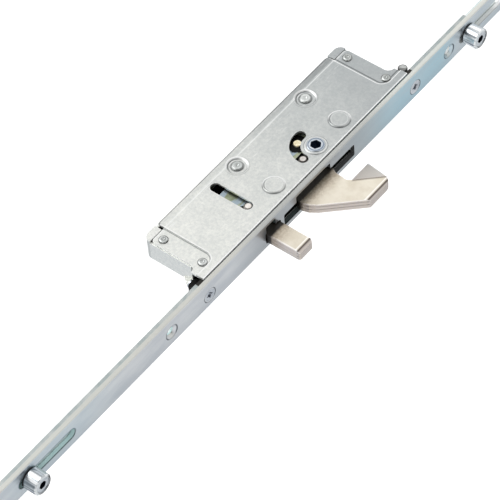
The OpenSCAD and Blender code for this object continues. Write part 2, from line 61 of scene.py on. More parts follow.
class Sock:
    # wraps a node socket so that shader maths reads like plain arithmetic
    def __init__(self, tree, out):
        self.tree = tree
        self.out = out

    def math(self, operation, a, b=None):
        node = self.tree.nodes.new("ShaderNodeMath")
        node.operation = operation
        for slot, value in enumerate((a, b)):
            if isinstance(value, Sock):
                self.tree.links.new(value.out, node.inputs[slot])
            elif value is not None:
                node.inputs[slot].default_value = value
        return Sock(self.tree, node.outputs[0])

    def __add__(self, other):
        return self.math("ADD", self, other)

    def __radd__(self, other):
        return self.math("ADD", other, self)

    def __sub__(self, other):
        return self.math("SUBTRACT", self, other)

    def __rsub__(self, other):
        return self.math("SUBTRACT", other, self)

    def __mul__(self, other):
        return self.math("MULTIPLY", self, other)

    def __rmul__(self, other):
        return self.math("MULTIPLY", other, self)

    def __truediv__(self, other):
        return self.math("DIVIDE", self, other)

    def __rtruediv__(self, other):
        return self.math("DIVIDE", other, self)

    def __pow__(self, other):
        return self.math("POWER", self, other)

    def __neg__(self):
        return self.math("MULTIPLY", self, -1.0)

    def __gt__(self, other):
        return self.math("GREATER_THAN", self, other)

    def __abs__(self):
        return self.math("ABSOLUTE", self)

    def most(self, other):
        return self.math("MAXIMUM", self, other)

    def least(self, other):
        return self.math("MINIMUM", self, other)

    def clamp(self):
        kept = self + 0.0
        kept.out.node.use_clamp = True
        return kept

    def step(self, low, high):
        # 0 below low, 1 above high, smooth between them
        share = (self - low) * (1.0 / (high - low))
        share.out.node.use_clamp = True
        return share * share * (3.0 - 2.0 * share)

    def fall(self, low, high):
        # 1 below low, 0 above high
        return 1.0 - self.step(low, high)


class Maker:
    # builds one material, or the world: node() makes any node, settings first, then its sockets
    def __init__(self, name, world=None):
        self.owner = world or bpy.data.materials.new(name)
        self.output = "ShaderNodeOutputWorld" if world else "ShaderNodeOutputMaterial"
        self.owner.use_nodes = True
        self.tree = self.owner.node_tree
        self.tree.nodes.clear()

    def node(self, kind, settings=None, values=None, output=0):
        made = self.tree.nodes.new(kind)
        for key, value in (settings or {}).items():
            setattr(made, key, value)
        for key, value in (values or {}).items():
            if isinstance(value, Sock):
                self.tree.links.new(value.out, made.inputs[key])
            else:
                made.inputs[key].default_value = value
        return Sock(self.tree, made.outputs[output]) if made.outputs else None

    def place(self):
        # object coordinates in metres, which are the frame's for every piece of the lock
        return self.node("ShaderNodeTexCoord", output="Object")

    def along(self, axis):
        # one object coordinate, in mm
        return self.node("ShaderNodeSeparateXYZ", values={0: self.place()}, output=axis) * (1.0 / mm)

    @property
    def x(self):
        return self.along(0)

    @property
    def y(self):
        return self.along(1)

    @property
    def z(self):
        return self.along(2)

    def facing(self, axis):
        # how much the surface looks along one axis, from -1 to 1
        normal = self.node("ShaderNodeNewGeometry", output="Normal")
        return self.node("ShaderNodeSeparateXYZ", values={0: normal}, output=axis)

    def scaled(self, x, y, z):
        stretch = {0: self.place(), 1: (x, y, z)}
        return self.node("ShaderNodeVectorMath", {"operation": "MULTIPLY"}, stretch)

    def noise(self, point, scale, detail=2.0, rough=0.5):
        values = {"Vector": point, "Scale": scale, "Detail": detail, "Roughness": rough}
        return self.node("ShaderNodeTexNoise", values=values)

    def mix(self, factor, a, b):
        return self.node("ShaderNodeMix", {"data_type": "RGBA"}, {0: factor, 6: a, 7: b}, output=2)

    def bump(self, height, strength, depth):
        # depth in mm
        values = {"Height": height, "Strength": strength, "Distance": depth * mm}
        return self.node("ShaderNodeBump", values=values)

    def close(self, shader):
        self.node(self.output, values={0: shader})
        return self.owner

    def surface(self, **values):
        values = {key.replace("_", " "): value for key, value in values.items()}
        return self.close(self.node("ShaderNodeBsdfPrincipled", values=values))


def rgb(r, g, b):
    # display colour 0..255 to scene colour
    def linear(v):
        v /= 255.0
        return v / 12.92 if v <= 0.04045 else ((v + 0.055) / 1.055) ** 2.4
    return (linear(r), linear(g), linear(b), 1.0)


# lengths and places of the finishes are in mm; up is +Z, along the strip
def span(nodeName):
    # a node's lowest and highest corner at rest
    low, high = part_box(nodeName)
    return low / mm, high / mm


def middle(nodeName):
    low, high = span(nodeName)
    return (low + high) * 0.5


def flatSpot(nodeName):
    # a node's middle on the lid's plane, by X and Z
    spot = middle(nodeName)
    return (spot.x, spot.z)


def rivetSpots(nodeName, radius):
    # middles of the rivets in the corners of a node's box, by X and Z
    low, high = span(nodeName)
    across = (low.x + radius, high.x - radius)
    up = (low.z + radius, high.z - radius)
    return sorted({(round(x, 1), round(z, 1)) for x in across for z in up})


def away(a, b):
    # distance from two offsets at right angles
    return (a * a + b * b) ** 0.5


def distance(m, spot):
    # distance on the lid's plane from one point, given by its X and Z
    return away(m.x - spot[0], m.z - spot[1])


def line(far, shape):
    # a soft line across the distance "far": its place, half width and strength
    place, half, strength = shape
    return (1.0 - abs(far - place).step(0.0, half)) * strength


def shineSide(m, spot, far):
    # 1 on the side of a round form that looks down the strip and away from the forend, which shines
    rise = ((m.x - spot[0]) * 0.58 - (m.z - spot[1]) * 0.81) / far
    return rise.step(-0.35, 0.45)


def shadedCreases(m, reach, low=0.25, high=0.8):
    # 1 in tight inner corners and along contact lines, 0 on open surfaces; the mask for painted shade
    settings = {"samples": 6, "only_local": False}
    seen = m.node("ShaderNodeAmbientOcclusion", settings, {"Distance": reach * mm}, "AO")
    return (1.0 - seen).step(low, high)


def glintRims(m, reach, low=0.30, high=0.62):
    # 1 along outer edges, 0 on flat surfaces; the mask for painted highlights
    settings = {"samples": 6, "inside": True, "only_local": True}
    seen = m.node("ShaderNodeAmbientOcclusion", settings, {"Distance": reach * mm}, "AO")
    return (1.0 - seen).step(low, high)


# zinc-plated sheet of tray and lid, with tones for its painted highlights and painted shade
zinc = {
    "light": rgb(240, 240, 234), "mid": rgb(226, 227, 222), "dark": rgb(168, 174, 176),
    "endShade": rgb(156, 161, 163), "crease": rgb(70, 74, 76), "rim": rgb(248, 249, 248),
    "innerShade": rgb(20, 21, 20), "rough": 0.34, "metal": 0.75,
    "patch": 70.0, "flake": 760.0, "grain": 1500.0,  # noise scales
    "unshaded": (-115.0, 80.0),  # from painted shade at -Z to none, up the strip
    "tabs": (74.2, 75.0),  # where the end tabs begin
    "inner": (1.5, 3.0),  # the tray's inner face, by Y
}
# forms pressed into the lid, with their painted highlight and painted shade lines; a line has its place,
# half width and strength
pressed = {
    "seats": rivetSpots("spacer_rivets", 2.9), "seatBend": (5.3, 0.9, 1.0), "seatFoot": (4.5, 0.6, 0.95),
    "seatDish": (3.2, 0.6, 0.6), "seatRim": (6.0, 0.5, 0.25),
    "stops": ((12.5, 15.0), (12.5, -35.8)), "stopBend": (5.2, 0.9, 1.1), "stopFoot": (5.5, 0.5, 0.7),
    "stopGleam": (4.1, 0.4, 0.25), "stopDish": (4.6, 0.4, 0.2), "stopSide": (4.8, 0.5, 0.6),
    "hub": flatSpot("pivot_bush"), "hubBend": (5.3, 0.4, 0.8), "hubFoot": (5.8, 0.4, 0.35),
    "field": (7.9, 65.0), "sweep": 5.0, "fieldBend": (0.2, 0.6, 0.8),
    "nearEdge": (4.0, 0.8, 1.0), "backBend": (38.0, 0.6, 0.5), "backEdge": 39.0,
    "streaked": (26.0, 36.0),
}


def joggle(m):
    # distance from the edge of the recessed end tabs: below 0 in the recess, above 0 on the field
    side = pressed["field"][0] + pressed["sweep"] - m.x
    end = pressed["field"][1] + pressed["sweep"] - abs(m.z)
    return away(side.most(0.0), end.most(0.0)) + side.most(end).least(0.0) - pressed["sweep"]


def lidShine(m):
    # painted highlights along the bends of the pressed forms, near the front edge and at the back bend, and
    # light streaks along the strip towards the back
    shine = line(joggle(m), pressed["fieldBend"])
    for spot in pressed["seats"]:
        far = distance(m, spot)
        shine = shine + line(far, pressed["seatBend"]) * (shineSide(m, spot, far) * 0.95 + 0.15)
    for spot in pressed["stops"]:
        far = distance(m, spot)
        shine = shine + line(far, pressed["stopBend"]) * shineSide(m, spot, far)
        shine = shine + line(far, pressed["stopGleam"])
    shine = shine + line(distance(m, pressed["hub"]), pressed["hubBend"])
    shine = shine + line(m.x, pressed["nearEdge"]) + line(m.x, pressed["backBend"])
    streaks = m.noise(m.scaled(1.0, 1.0, 0.05), 2100.0, 1.0, 0.5).step(0.66, 0.70)
    return (shine + streaks * m.x.step(*pressed["streaked"]) * 0.35).clamp()


def lidShadeLines(m):
    # painted shade: thin dark lines at the foot of each bend and round the pressed forms, and a painted
    # dark reflection along the back edge
    down = m.z.fall(-10.0, 10.0)  # towards -Z the step hides its foot, so the line lies further out
    shadeLines = line(joggle(m) + down * 1.2, (-0.3, 0.4 + down * 0.2, 0.75))
    for spot in pressed["seats"]:
        far = distance(m, spot)
        left = (m.x - spot[0]).step(-1.0, 4.0)
        shadeLines = shadeLines + line(far, pressed["seatFoot"]) * left + line(far, pressed["seatDish"])
        shadeLines = shadeLines + line(far, pressed["seatRim"]) * (1.0 - left)
    for spot in pressed["stops"]:
        far = distance(m, spot)
        aside = ((m.x - spot[0]) * 0.785 + (m.z - spot[1]) * 0.62) / far
        shadeLines = shadeLines + line(far, pressed["stopFoot"]) * (1.0 - shineSide(m, spot, far))
        shadeLines = shadeLines + line(far, pressed["stopDish"])
        shadeLines = shadeLines + line(far, pressed["stopSide"]) * aside.step(0.55, 0.95)
    shadeLines = shadeLines + line(distance(m, pressed["hub"]), pressed["hubFoot"])
    edge = pressed["backEdge"]
    shadeLines = shadeLines + m.x.step(edge - 0.4, edge + 0.4) * (m.z.fall(-70.0, 10.0) * 0.30 + 0.06)
    shadeLines = shadeLines + m.facing(0).step(0.10, 0.45) * m.x.step(edge + 0.5, edge + 1.0) * 0.70
    return shadeLines.clamp()


def lidUnder(m):
    # the lid's inner face, painted black as shade
    return m.facing(1).step(0.35, 0.7)


def trayInside(m):
    # the far plate's inner face, painted black as shade
    return m.y.step(*zinc["inner"]) * (-m.facing(1)).step(0.35, 0.7) * abs(m.z).fall(*zinc["tabs"])


def zincSheet(name, inside=None, pressings=False):
    # "inside" is a function that says where painted black shade covers the sheet
    m = Maker(name)
    patch = m.noise(m.place(), zinc["patch"], 4.0, 0.65).step(0.30, 0.72)
    flake = m.noise(m.place(), zinc["flake"], 3.0, 0.75).step(0.30, 0.74)
    grain = m.noise(m.place(), zinc["grain"], 2.0, 0.6)
    unshaded = m.z.step(*zinc["unshaded"])
    tabs = abs(m.z).step(*zinc["tabs"])
    metal = zinc["metal"]
    base = m.mix(patch, zinc["mid"], zinc["light"])
    base = m.mix((1.0 - flake) * (0.62 - unshaded * 0.27), base, zinc["dark"])
    # painted shade: the sheet darkens towards -Z
    base = m.mix((1.0 - unshaded) * 0.95, base, zinc["endShade"])
    # painted highlights on the edges and painted shade in the creases, less shade on the end tabs
    base = m.mix(glintRims(m, 0.6) * 0.45, base, zinc["rim"])
    base = m.mix(shadedCreases(m, 0.9) * (0.75 - tabs * 0.5), base, zinc["crease"])
    if pressings:
        shine = lidShine(m)
        # painted highlights on the lid's bends, then painted shade lines at their feet
        base = m.mix(shine, base, zinc["rim"])
        base = m.mix(lidShadeLines(m), base, zinc["crease"])
        metal = metal - shine * 0.45
    if inside is not None:
        # painted shade: the hidden inner faces are black
        hidden = inside(m)
        base = m.mix(hidden, base, zinc["innerShade"])
        metal = metal - hidden * 0.7
    rough = zinc["rough"] + (1.0 - patch) * 0.05 + (grain - 0.5) * 0.14 + (1.0 - flake) * 0.05
    normal = m.bump(grain * 0.6 + flake * 0.5, 0.22, 0.08)
    return m.surface(Base_Color=base, Metallic=metal, Roughness=rough, Normal=normal)


# the chrome rollers; the streak tone paints reflections along the side, the shade and crease tones paint
# shade
rollers = {
    "down": middle("lower_sleeve"), "up": middle("upper_sleeve"), "end": span("upper_sleeve")[0].x,
    "rim": (4.2, 4.4), "light": rgb(236, 239, 241), "streak": rgb(104, 114, 122),
    "face": rgb(222, 227, 229), "shade": rgb(26, 30, 38), "crease": rgb(24, 28, 36),
}
# satin finish of the forend, with its countersunk holes and slots; its blue is a painted reflection, the
# wall tones are painted light, and the far, ring, slot line, lip and lock slot tones are painted shade
satin = {
    "front": rgb(226, 228, 230), "deep": rgb(203, 207, 213), "edge": rgb(200, 200, 193),
    "blue": rgb(168, 209, 224), "far": rgb(150, 158, 166), "dull": rgb(146, 150, 151),
    "ring": rgb(40, 54, 66), "slotLine": rgb(62, 92, 104), "lip": rgb(52, 62, 66),
    "wallUp": rgb(226, 252, 252), "wallDown": rgb(254, 255, 255), "lockSlot": rgb(40, 44, 46),
    "brush": 3600.0, "grain": 1500.0,
}
# holes by Z and Y
holes = {
    "sunk": ((107.1, 0.0), (-107.1, 0.0), (229.0, 0.0), (-168.0, 0.0)),
    "screws": ((79.4, 1.0), (-79.4, 1.0)),
    "rim": (3.9, 0.55, 1.0), "strip": (7.2, 7.6), "lockSlots": (50.0, 55.0),
    "rollerSlot": (rollers["up"].z - 28.4, rollers["up"].z + 4.4), "slotRim": (3.2, 3.5),
}


def holeRings(m):
    # painted shade: dark crescents round the countersinks of the forend, towards its two ends
    rings = 0.0
    for z, y in holes["sunk"] + holes["screws"]:
        dz = m.z - z
        far = away(m.y - y, dz)
        ends = (abs(dz) / far).step(0.45, 0.9)
        rings = line(far, holes["rim"]) * (ends * 0.65 + 0.35) + rings
    return rings.clamp()


def slotWalls(m):
    # the thickness of the strip inside its slots and holes
    return abs(m.facing(0)).fall(0.3, 0.65) * abs(m.y).fall(*holes["strip"])


def slotLines(m):
    # painted shade: dark line round the slot of the roller at +Z, on the strip's front
    low, high = holes["rollerSlot"]
    across = m.y - rollers["up"].y
    far = away(across, m.z - m.z.most(low).least(high))
    side = 1.0 - across.step(-1.6, 1.2) * 0.55
    return far.fall(*holes["slotRim"]) * side * m.z.step(100.0, 110.0) * 0.8


def blueSheen(m):
    # a painted blue reflection lies on two stretches of the strip
    sheen = m.noise(m.scaled(1.0, 1.0, 0.45), 34.0, 2.0, 0.5).step(0.30, 0.62) * 0.3 + 0.7
    sheen = sheen * (0.9 - m.z.step(-70.0, -10.0) * 0.9) * (m.z.step(-116.0, -100.0) * 0.72 + 0.28)
    return (sheen + line(m.z, (190.0, 60.0, 0.3))).clamp()


def forendSatin():
    m = Maker("forendSatin")
    brushed = m.noise(m.scaled(1.0, 1.0, 0.010), satin["brush"], 3.0, 0.6)
    cloud = m.noise(m.scaled(1.0, 1.0, 0.30), 120.0, 3.0, 0.55).step(0.3, 0.7)
    grain = m.noise(m.place(), satin["grain"], 2.0, 0.6)
    onEdge = abs(m.facing(1)).step(0.45, 0.85)
    walls = slotWalls(m)
    up = m.z.step(-20.0, 20.0)
    lip = m.x.fall(0.3, 0.7)
    lockSlots = abs(m.z).fall(*holes["lockSlots"])
    base = m.mix(cloud, satin["deep"], satin["front"])
    # painted blue reflection on two stretches of the strip
    base = m.mix(blueSheen(m), base, satin["blue"])
    # painted shade: darker towards the strip's far side
    base = m.mix(m.y.step(-1.0, 9.0) * 0.30, base, satin["far"])
    base = m.mix(brushed.step(0.35, 0.7) * 0.4, base, satin["deep"])
    base = m.mix(onEdge * 0.9, base, satin["edge"])
    base = m.mix(abs(m.z).fall(30.0, 68.0) * 0.5, base, satin["dull"])
    # painted highlights on the edges, painted shade in the creases, round the countersinks and round the
    # roller's slot
    base = m.mix(glintRims(m, 0.5) * 0.25, base, zinc["rim"])
    base = m.mix(shadedCreases(m, 1.1) * 0.8, base, zinc["crease"])
    base = m.mix(holeRings(m), base, satin["ring"])
    base = m.mix(slotLines(m), base, satin["slotLine"])
    # the walls of slots and holes are painted near white as if lit, greener towards +Z, with painted shade
    # at their front lip and inside the slots of bolt and hook
    base = m.mix(walls, base, m.mix(up, satin["wallDown"], satin["wallUp"]))
    base = m.mix(walls * lip * (up * 0.5 + 0.35), base, satin["lip"])
    base = m.mix(walls * lockSlots * 0.9, base, satin["lockSlot"])
    rough = 0.30 + (brushed - 0.5) * 0.12 + cloud * 0.05
    normal = m.bump(brushed * 0.7 + grain * 0.3, 0.14, 0.06)
    return m.surface(Base_Color=base, Metallic=0.85 - walls * 0.85, Roughness=rough, Normal=normal)


def plainSteel(name, light, dark, rough=0.32, metallic=0.9, patch=160.0, crease=0.85, rim=0.5,
               paintedShade=None, second=None, shadeTone=rgb(16, 16, 15)):
    # turned and stamped small parts, with painted highlights on the edges and painted shade in the creases;
    # the mask function given says where more painted shade lies, in its dark tone
    m = Maker(name)
    cloud = m.noise(m.place(), patch, 3.0, 0.6).step(0.32, 0.7)
    grain = m.noise(m.place(), 2200.0, 2.0, 0.5)
    base = m.mix(cloud, dark, light)
    if second is not None:
        stripes = m.noise(m.scaled(1.0, 1.0, 0.3), 210.0, 2.0, 0.5).step(0.46, 0.54)
        base = m.mix(stripes, base, second)
    # painted highlights on the edges and painted shade in the creases and where the mask says
    base = m.mix(glintRims(m, 0.4) * rim, base, zinc["rim"])
    base = m.mix(shadedCreases(m, 0.8) * crease, base, rgb(34, 35, 36))
    if paintedShade is not None:
        base = m.mix(paintedShade(m), base, shadeTone)
    rough = rough + cloud * 0.08 + (grain - 0.5) * 0.10
    normal = m.bump(grain, 0.12, 0.05)
    return m.surface(Base_Color=base, Metallic=metallic, Roughness=rough, Normal=normal)


rivets = {"corners": rivetSpots("corner_rivets", 2.6), "cornerRings": ((2.3, 0.6, 0.9), (1.0, 0.6, 0.6)),
          "spacerRings": ((2.7, 0.5, 0.7), (1.2, 0.4, 0.35))}


def rivetRings(m):
    # painted shade: dark rings and centre of the turned-over rivet ends, broken up at random
    rings = 0.0
    for spots, shapes in ((rivets["corners"], "cornerRings"), (pressed["seats"], "spacerRings")):
        for spot in spots:
            far = distance(m, spot)
            for shape in rivets[shapes]:
                rings = line(far, shape) + rings
    broken = m.noise(m.place(), 900.0, 1.0, 0.5).step(0.35, 0.6)
    return (rings * (0.45 + broken * 0.55)).clamp()


bush = {"ring": (3.7, 0.5, 0.75), "bore": (3.0, 3.2)}


def hubRings(m):
    # painted shade in the turned ring of the bush and a painted dark bore
    far = distance(m, pressed["hub"])
    bore = abs(m.facing(1)).fall(0.3, 0.8) * far.fall(*bush["bore"])
    return (line(far, bush["ring"]) + bore * 0.97).clamp()


pins = {"bolt": flatSpot("bolt_pin"), "hook": flatSpot("hook_pin"), "groove": (1.8, 0.5, 0.85),
        "brown": (2.4, 2.8), "head": (-6.6, -6.0)}


def pinRings(m):
    # painted shade in the turned groove near the rim of the guide pins and under their heads; the hook's
    # pin is browner
    hook = distance(m, pins["hook"])
    rings = line(distance(m, pins["bolt"]).least(hook), pins["groove"]) + hook.fall(*pins["brown"]) * 0.28
    return (rings + m.y.step(*pins["head"])).clamp()


pillars = {"bright": (8.6, -81.0), "ring": (2.3, 0.6, 0.7), "end": (-5.4, -4.6)}


def pillarShade(m):
    # painted shade: the pillars are dark, only the near end of the one at -Z is bright, darker on its far
    # side and in a ring
    far = distance(m, pillars["bright"])
    under = (1.0 - shineSide(m, pillars["bright"], far)) * 0.62 + line(far, pillars["ring"])
    shade = m.z.step(0.0, 10.0) * 0.96 + m.y.step(*pillars["end"]) * 0.9
    return (shade + under * m.z.fall(-70.0, -60.0)).clamp()


rail = {"nearEdge": (-5.6, -5.0), "covered": (82.0, 82.8), "behind": (3.0, 3.6)}


def railShade(m):
    # painted shade: the rail's near edge is darker, and black where the case and its pillars cover it
    black = (abs(m.z) + m.z.fall(-10.0, 10.0) * 0.2).fall(*rail["covered"]) * 0.95
    return m.y.fall(*rail["nearEdge"]) * (black + 0.42 + m.x.fall(*rail["behind"]) * 0.25).clamp()


driverShade = {"reach": 6.2, "ragged": 1.5, "pinHead": (-4.8, -4.6)}


def driverPinShade(m):
    # painted shade: black on the slide, round its driver pin, with a ragged edge
    pin = flatSpot("driver_pin")
    far = away(distance(m, pin), m.y - span("drive_slide")[0].y)
    far = far + m.noise(m.place(), 500.0, 2.0, 0.6) * driverShade["ragged"]
    return far.fall(driverShade["reach"] - 0.3, driverShade["reach"] + 0.6)


def brassRoot(m):
    # painted shade on the driver pin below its bright head
    return m.y.step(*driverShade["pinHead"])


studs = {"socket": (-7.5, -7.2), "bottom": (-0.9, -0.6)}


def socketDepth(m):
    # painted shade inside the hexagon socket of a roller's stud
    return m.x.step(*studs["socket"]) * m.x.fall(*studs["bottom"]) * 0.95


# nickel plating of bolt and hook, with tones for painted highlights and painted shade; the seams between
# their plates are places along Y
nickel = {
    "face": rgb(228, 221, 206), "side": rgb(206, 197, 192), "stain": rgb(208, 198, 179),
    "line": rgb(80, 68, 62), "facet": rgb(242, 232, 222), "rim": rgb(253, 250, 246),
    "brown": rgb(150, 132, 110), "paintedShade": rgb(24, 21, 18),
    "seams": (0.15, 2.2), "seamLine": 0.28, "groove": 0.14, "boltEdge": (36.6, 0.6, 1.0),
}
# the beak's slanted side: a point on its fold by X and Z, its slope, and where the fold ends
beak = {"fold": (-24.0, -24.0), "slope": (0.259, -0.2714), "wide": 0.5, "end": (-12.8, -12.2)}


def beakFold(m):
    # painted shade: the dark line where the beak's slanted side meets the hook's near face
    side = (m.x - beak["fold"][0]) * beak["slope"][0] + (m.z - beak["fold"][1]) * beak["slope"][1]
    onFace = (-m.facing(1)).step(0.93, 0.98)
    return line(side, (0.0, beak["wide"], 1.0)) * onFace * m.x.fall(*beak["end"])


def nickelPlate(name, shadeX, noseX):
    # the first place on X is where the painted black shade begins, at the entry into the case, with a
    # browner speckled stretch before it; noseX is where the painted shade line before the nose's chamfer
    # lies
    m = Maker(name)
    onFace = abs(m.facing(1)).step(0.94, 0.985)
    onSide = 1.0 - onFace
    cloud = m.noise(m.place(), 130.0, 4.0, 0.65).step(0.3, 0.75)
    grain = m.noise(m.place(), 2200.0, 2.0, 0.6)
    cuts = m.noise(m.scaled(1.0, 0.06, 1.0), 1300.0, 2.0, 0.5)
    ragged = m.noise(m.place(), 700.0, 2.0, 0.6) * 0.8
    specks = m.noise(m.place(), 1100.0, 2.0, 0.7).step(0.35, 0.65)
    brown = (m.x + ragged * 3.0).step(shadeX - 8.5, shadeX) * (0.55 + specks * 0.45)
    paintedShade = (m.x + ragged).step(shadeX - 0.7, shadeX + 0.7)
    nose = line(m.x, (noseX, 0.8, 1.0)) * (-m.facing(1)).step(0.3, 0.6)
    lit = (line(m.x, (noseX + 1.2, 0.6, 1.0)) + line(m.z, nickel["boltEdge"])) * onFace
    seam = sum(line(m.y, (level, nickel["seamLine"], 1.0)) for level in nickel["seams"])
    seam = seam * abs(m.facing(1)).fall(0.3, 0.5)
    facet = (-m.facing(1)).step(0.86, 0.91) * onSide
    base = m.mix(cloud * 0.7, nickel["face"], nickel["stain"])
    base = m.mix(onSide, base, nickel["side"])
    base = m.mix(onSide * cuts.step(0.4, 0.75) * 0.45, base, nickel["stain"])
    base = m.mix(facet * 0.85, base, nickel["facet"])
    # painted highlights on the edges, along the nose and at the bolt's end edge
    base = m.mix(glintRims(m, 0.9, 0.16, 0.46) * 0.85, base, nickel["rim"])
    base = m.mix(lit * 0.8, base, nickel["rim"])
    base = m.mix(seam * 0.8, base, nickel["line"])
    # painted shade lines at the beak's fold and before the nose's chamfer
    base = m.mix(beakFold(m) * 0.8, base, nickel["line"])
    base = m.mix(nose * 0.95, base, nickel["line"])
    base = m.mix(brown * 0.75, base, nickel["brown"])
    # painted black shade where the plate goes into the case, and painted shade in the creases
    base = m.mix(paintedShade * 0.96, base, nickel["paintedShade"])
    base = m.mix(shadedCreases(m, 0.6, 0.35, 0.8) * 0.9, base, nickel["line"])
    rough = 0.30 + cloud * 0.08 + (grain - 0.5) * 0.10 + onSide * 0.06
    normal = m.bump(grain * 0.5 + onSide * cuts * 0.8, 0.18, 0.06)
    return m.surface(Base_Color=base, Metallic=0.78 - paintedShade * 0.6, Roughness=rough, Normal=normal)


def rollerRim(m):
    # the outer rim at the far side of a roller's end, in shade
    dy = m.y - rollers["up"].y
    dz = m.z - ((m.z > 0.0) * (rollers["up"].z - rollers["down"].z) + rollers["down"].z)
    far = away(dy, dz)
    rim = far.step(*rollers["rim"]) * ((dy - dz) * 0.7 / far).step(-0.1, 0.4)
    return rim * m.x.fall(rollers["end"] + 0.55, rollers["end"] + 0.85)


def chrome():
    m = Maker("rollerChrome")
    streak = m.noise(m.scaled(0.02, 1.0, 1.0), 560.0, 2.0, 0.6)
    haze = m.noise(m.place(), 260.0, 2.0, 0.5)
    onEnd = (-m.facing(0)).step(0.6, 0.9)
    # painted reflection: grey streaks along the roller's side
    base = m.mix(streak.step(0.48, 0.58) * (1.0 - onEnd) * 0.8, rollers["light"], rollers["streak"])
    base = m.mix(onEnd * 0.7, base, rollers["face"])
    base = m.mix(rollerRim(m) * 0.92, base, rollers["shade"])
    # painted shade in the creases
    base = m.mix(shadedCreases(m, 0.8) * 0.9, base, rollers["crease"])
    rough = 0.14 + haze * 0.08 + streak * 0.06
    return m.surface(Base_Color=base, Metallic=0.9, Roughness=rough, Normal=m.bump(streak, 0.05, 0.03))


def plastic(name, colour, rough):
    m = Maker(name)
    grain = m.noise(m.place(), 2400.0, 2.0, 0.6)
    pale = tuple(min(1.0, v * 1.6) for v in colour[:3]) + (1.0,)
    base = m.mix(grain.step(0.3, 0.8) * 0.4, colour, pale)
    rough = rough + (grain - 0.5) * 0.15
    return m.surface(Base_Color=base, Metallic=0.0, Roughness=rough, Normal=m.bump(grain, 0.2, 0.05))


# one finish for each material slot of the part
look = {
    "forend_plate": forendSatin(),
    "case_zinc": zincSheet("caseZinc"),
    "rivet_steel": plainSteel("rivetSteel", rgb(224, 227, 225), rgb(188, 192, 190), 0.42, 0.7,
                              paintedShade=rivetRings),
    "pillar_steel": plainSteel("pillarSteel", rgb(206, 208, 206), rgb(160, 162, 161), 0.42, 0.7,
                               paintedShade=pillarShade),
    "screw_zinc": plainSteel("screwZinc", rgb(214, 218, 224), rgb(176, 182, 192), 0.22),
    "hub_steel": plainSteel("hubSteel", rgb(214, 220, 226), rgb(170, 180, 190), 0.34, rim=0.15,
                            paintedShade=hubRings, shadeTone=rgb(44, 68, 98)),
    "guide_plastic": plastic("guidePlastic", rgb(30, 31, 32), 0.5),
    "rail_steel": plainSteel("railSteel", rgb(240, 246, 244), rgb(206, 220, 220), 0.36, 0.35, crease=0.15,
                             paintedShade=railShade, shadeTone=rgb(24, 22, 18)),
    "slide_steel": plainSteel("slideSteel", rgb(176, 182, 156), rgb(128, 136, 112), 0.36, crease=0.5,
                              paintedShade=driverPinShade, second=rgb(160, 174, 184)),
    "driver_brass": plainSteel("driverBrass", rgb(250, 244, 222), rgb(204, 190, 150), 0.30, patch=900.0,
                               paintedShade=brassRoot),
    "bolt_nickel": nickelPlate("boltNickel", -2.3, -18.0),
    "pin_steel": plainSteel("pinSteel", rgb(242, 239, 234), rgb(216, 209, 202), 0.30, patch=700.0,
                            paintedShade=pinRings, shadeTone=rgb(40, 34, 32)),
    "stud_steel": plainSteel("studSteel", rgb(224, 228, 232), rgb(184, 190, 198), 0.20, crease=0.95,
                             paintedShade=socketDepth, shadeTone=rgb(34, 56, 76)),
    "roller_chrome": chrome(),
    "washer_plastic": plastic("washerPlastic", rgb(40, 42, 46), 0.45),
}
hookNickel = nickelPlate("hookNickel", -0.4, -25.8)
trayZinc = zincSheet("trayZinc", trayInside)
lidZinc = zincSheet("lidZinc", lidUnder, pressings=True)
slotOf = {s["node"]: s["material_slot"] for s in frame["record"]["subparts"]}
for nodeName, node in frame["nodes"].items():
    node.data.materials.clear()
    node.data.materials.append(look[slotOf[nodeName]])
print("materials ready")


def reshaped(mesh, change):
    # runs "change" on the mesh's form
    shape = bmesh.new()
    shape.from_mesh(mesh)
    change(shape)
    shape.to_mesh(mesh)
    shape.free()


def grooved(shape):
    # V-grooves between the plates of a laminated block
    sides = (-nickel["groove"], 0.0, nickel["groove"])
    for level in nickel["seams"]:
        for side in sides:
            everything = list(shape.verts) + list(shape.edges) + list(shape.faces)
            cut = (0.0, (level + side) * mm, 0.0)
            bmesh.ops.bisect_plane(shape, geom=everything, dist=1e-7, plane_co=cut,
                                   plane_no=(0.0, 1.0, 0.0))
        shape.normal_update()
        moves = []
        for vert in shape.verts:
            flat = Vector((vert.normal.x, 0.0, vert.normal.z))
            if abs(vert.co.y - level * mm) < 1e-6 and abs(vert.normal.y) < 0.5 and flat.length > 0.5:
                moves.append((vert, flat.normalized() * nickel["groove"] * mm))
        for vert, inward in moves:
            vert.co -= inward
    levels = [level + side for level in nickel["seams"] for side in sides]
    for edge in shape.edges:
        ends = [vert.co.y / mm for vert in edge.verts]
        if abs(ends[0] - ends[1]) < 1e-3 and min(abs(ends[0] - level) for level in levels) < 1e-3:
            edge.smooth = False


# two edges with a form of their own, each by its side of one X and its Y, in mm
hookNoseEdge = {"x": -25.0, "y": -1.3, "wide": 0.8}
lidBackEdge = {"x": 41.5, "y": -7.2, "wide": 1.0, "segments": 4}


def bevelled(shape, edge, within, segments):
    # bevels the edges whose ends both lie at the edge's Y and within its stretch
    chosen = [found for found in shape.edges
              if all(within(v.co.x / mm) and abs(v.co.y / mm - edge["y"]) < 0.01 for v in found.verts)]
    bmesh.ops.bevel(shape, geom=chosen, offset=edge["wide"] * mm, offset_type="OFFSET", segments=segments,
                    profile=0.5, affect="EDGES")


def hookNose(shape):
    # the narrow chamfer along the nose's near edge
    bevelled(shape, hookNoseEdge, lambda x: x < hookNoseEdge["x"], 1)


def rolledBack(shape):
    # the lid's long back edge, turned over a radius
    bevelled(shape, lidBackEdge, lambda x: x > lidBackEdge["x"], lidBackEdge["segments"])


